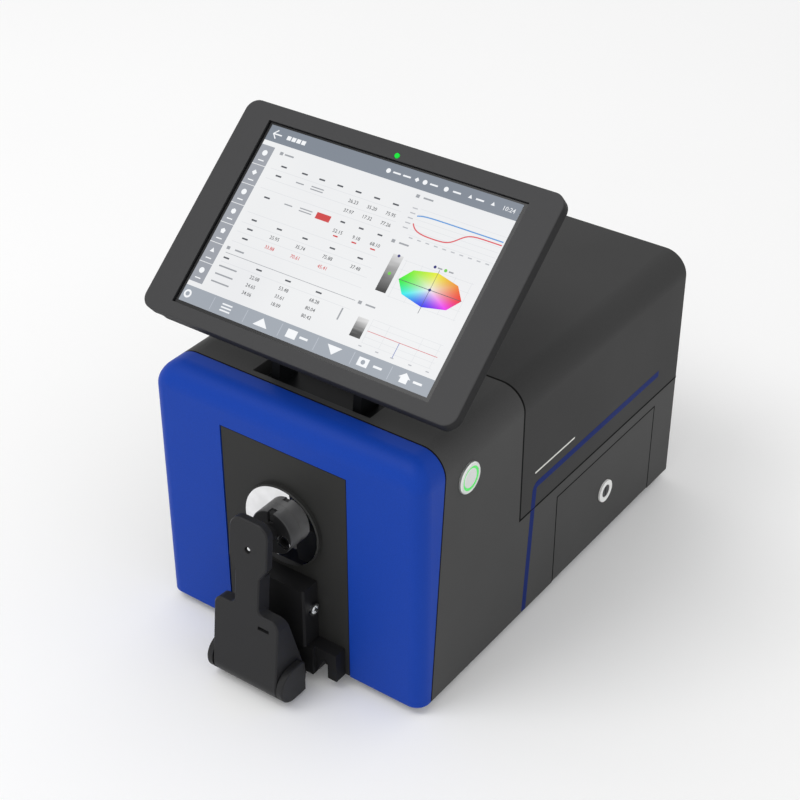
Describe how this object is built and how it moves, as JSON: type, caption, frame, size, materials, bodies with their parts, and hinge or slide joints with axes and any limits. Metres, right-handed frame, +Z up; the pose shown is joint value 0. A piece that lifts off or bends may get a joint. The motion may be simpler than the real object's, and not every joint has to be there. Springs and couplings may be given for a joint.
{
  "type": "benchtop spectrophotometer",
  "caption": "Benchtop spectrophotometer with a tilting display, a sprung sample arm at its front port, a hinged rear lid and a drawer in its side.",
  "frame": {"origin": "on the floor under the middle of the whole", "axes": "+X to the instrument's right seen from its front, +Y from the front to the rear, +Z up"},
  "size_m": [0.2704, 0.4268, 0.3657],
  "materials": {
    "charcoal": "fine satin moulding",
    "blue": "satin",
    "strip_black": "matt",
    "arm_black": "satin",
    "pad_black": "satin",
    "bezel_grey": "satin",
    "cover_black": "satin",
    "hinge_black": "satin",
    "screen": "lit display",
    "status_green": "lit",
    "polished": "polished",
    "switch_silver": "satin",
    "rubber": "matt",
    "zinc": "satin",
    "spring_steel": "bright",
    "cast": "bead blasted",
    "board": "solder mask",
    "socket_black": "matt",
    "tile_white": "glazed",
    "lens": "clear"
  },
  "bodies": {
    "instrument": {"main_housing": "charcoal", "front_panel": "blue", "aperture_strip": "strip_black", "base_plate": "zinc", "rubber_feet": "rubber", "base_screws": "zinc", "lid_seal": "rubber", "lid_bumpers": "rubber", "lid_hinge_brackets": "zinc", "lid_hinge_pins": "polished", "display_hinge_base": "hinge_black", "display_hinge_shaft": "polished", "aperture_ring": "strip_black", "aperture_plate": "polished", "sphere_front": "cast", "sphere_rear": "cast", "sphere_cradle": "cast", "lamp_housing": "cast", "holder_base": "arm_black", "holder_stop_pin": "polished", "arm_spring": "spring_steel", "switch_body": "switch_silver", "switch_light": "status_green", "switch_nut": "switch_silver", "drawer_runners": "zinc", "main_board": "board", "board_standoffs": "zinc", "power_supply": "zinc", "spectrometer_box": "cast", "entrance_lens": "lens", "cuvette_stage": "cast", "io_plate": "zinc", "power_inlet": "socket_black", "data_sockets": "zinc"},
    "lid": {"rear_lid": "charcoal", "lid_hinge_leaves": "zinc"},
    "display": {"display_bezel": "bezel_grey", "display_panel": "screen", "display_cover": "cover_black", "display_board": "board", "status_light": "status_green", "display_hinge_arm": "hinge_black"},
    "arm": {"holder_arm": "arm_black", "arm_end_caps": "arm_black", "arm_pivot_pin": "polished", "pad_stop_bush": "rubber"},
    "pad": {"press_pad": "pad_black", "pad_eyelets": "polished", "pad_stem": "polished", "pad_spring": "spring_steel"},
    "button": {"switch_cap": "switch_silver"},
    "drawer": {"drawer_front": "charcoal", "drawer_tray": "socket_black", "lock_sleeve": "polished", "calibration_tile": "tile_white", "zero_trap": "socket_black"},
    "lock": {"lock_core": "socket_black"}
  },
  "joints": [
    {"name": "display_tilt", "type": "hinge", "parent": "instrument", "child": "display", "pos_m": [0, -0.11015, 0.234], "axis": [1, 0, 0], "range_deg": [-15, 35]},
    {"name": "lid_open", "type": "hinge", "parent": "instrument", "child": "lid", "pos_m": [0, 0.20985, 0.102], "axis": [-1, 0, 0], "range_deg": [0, 70]},
    {"name": "arm_swing", "type": "hinge", "parent": "instrument", "child": "arm", "pos_m": [0, -0.19915, 0.018], "axis": [1, 0, 0], "range_deg": [0, 40], "stiffness_Nm_per_rad": 0.4, "springref_deg": -34.38},
    {"name": "pad_press", "type": "slide", "parent": "arm", "child": "pad", "axis": [0, -1, 0], "range_m": [0, 0.003], "stiffness_N_per_m": 800, "springref_m": -0.002},
    {"name": "button_press", "type": "slide", "parent": "instrument", "child": "button", "axis": [-1, 0, 0], "range_m": [0, 0.002], "stiffness_N_per_m": 600, "springref_m": -0.002},
    {"name": "drawer_slide", "type": "slide", "parent": "instrument", "child": "drawer", "axis": [1, 0, 0], "range_m": [0, 0.085]},
    {"name": "lock_turn", "type": "hinge", "parent": "drawer", "child": "lock", "pos_m": [0.117, 0.09535, 0.05185], "axis": [1, 0, 0], "range_deg": [0, 90]}
  ]
}
